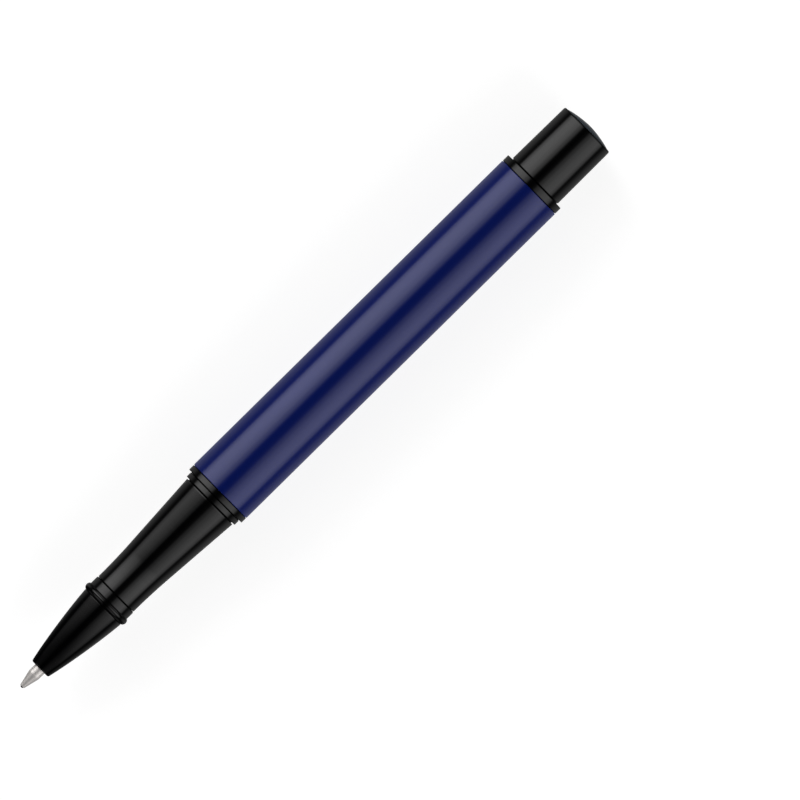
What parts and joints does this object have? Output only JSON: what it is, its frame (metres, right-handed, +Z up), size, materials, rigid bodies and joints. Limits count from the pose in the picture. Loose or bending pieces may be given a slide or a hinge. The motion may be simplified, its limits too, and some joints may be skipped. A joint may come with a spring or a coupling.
{
  "type": "rollerball pen",
  "caption": "Capped rollerball pen, shown uncapped: slim lacquered barrel, flared black grip, tapered nose with a fine metal writing tip, and a pull-off cap with an arched pocket clip.",
  "frame": {"origin": "on the pen's axis at the front face of the barrel tube, where the section screws in", "axes": "+X along the pen's axis towards the tail, -X towards the writing point and the pulled-off cap; +Z up, with the pen and its cap lying on a surface; the cap's clip leans on that surface on the -Y side"},
  "size_m": [0.2118, 0.0182, 0.0126],
  "materials": {
    "blue_lacquer": "satin",
    "black_gloss": "gloss",
    "black_button": "gloss",
    "clip_black": "satin",
    "brass": "machined",
    "core_black": "matte",
    "spring_steel": "bright",
    "refill_plastic": "gloss",
    "refill_plug": "satin",
    "refill_holder": "satin",
    "ink_fibre": "matte",
    "tip_metal": "satin",
    "ball_carbide": "polished",
    "liner_plastic": "satin"
  },
  "bodies": {
    "barrel": {"barrel_tube": "blue_lacquer", "barrel_bushing": "brass", "tail_insert": "brass", "tail_ring": "black_gloss", "tail_plug": "black_gloss", "tail_button": "black_button", "refill_spring": "spring_steel"},
    "refill": {"refill_tube": "refill_plastic", "refill_end_plug": "refill_plug", "refill_holder": "refill_holder", "ink_core": "ink_fibre", "feed_wick": "ink_fibre", "refill_tip": "tip_metal"},
    "section": {"section_core": "core_black", "grip": "black_gloss", "snap_ring": "black_gloss", "stop_ring": "black_gloss", "nose_ring": "black_gloss", "nose_cone": "black_gloss"},
    "ball": {"tip_ball": "ball_carbide"},
    "cap": {"cap_tube": "blue_lacquer", "cap_lip_ring": "black_gloss", "inner_cap": "liner_plastic", "cap_top_plug": "brass", "finial": "black_gloss", "clip_root": "clip_black"},
    "clip": {"clip_arm": "clip_black"}
  },
  "joints": [
    {"name": "refill_advance", "type": "slide", "parent": "barrel", "child": "refill", "axis": [-1, 0, 0], "range_m": [0, 0.0048], "deforming": ["refill_spring"]},
    {"name": "section_unscrew", "type": "hinge", "parent": "refill", "child": "section", "pos_m": [0, 0, 0], "axis": [-1, 0, 0], "range_deg": [0, 2161]},
    {"name": "ball_roll", "type": "hinge", "parent": "refill", "child": "ball", "pos_m": [-0.04437, 0, 0], "axis": [0, 1, 0], "continuous": true},
    {"name": "cap_slide", "type": "slide", "parent": "section", "child": "cap", "axis": [1, 0, 0], "range_m": [0, 0.0589]},
    {"name": "clip_flex", "type": "hinge", "parent": "cap", "child": "clip", "pos_m": [-0.1259, -0.00625, -0.0019], "axis": [0, 0.2907, -0.9568], "range_deg": [0, 4], "stiffness_Nm_per_rad": 2}
  ],
  "couplings": [
    {"joint": "section_unscrew", "follows": "refill_advance", "rad_per_m": 7854}
  ]
}
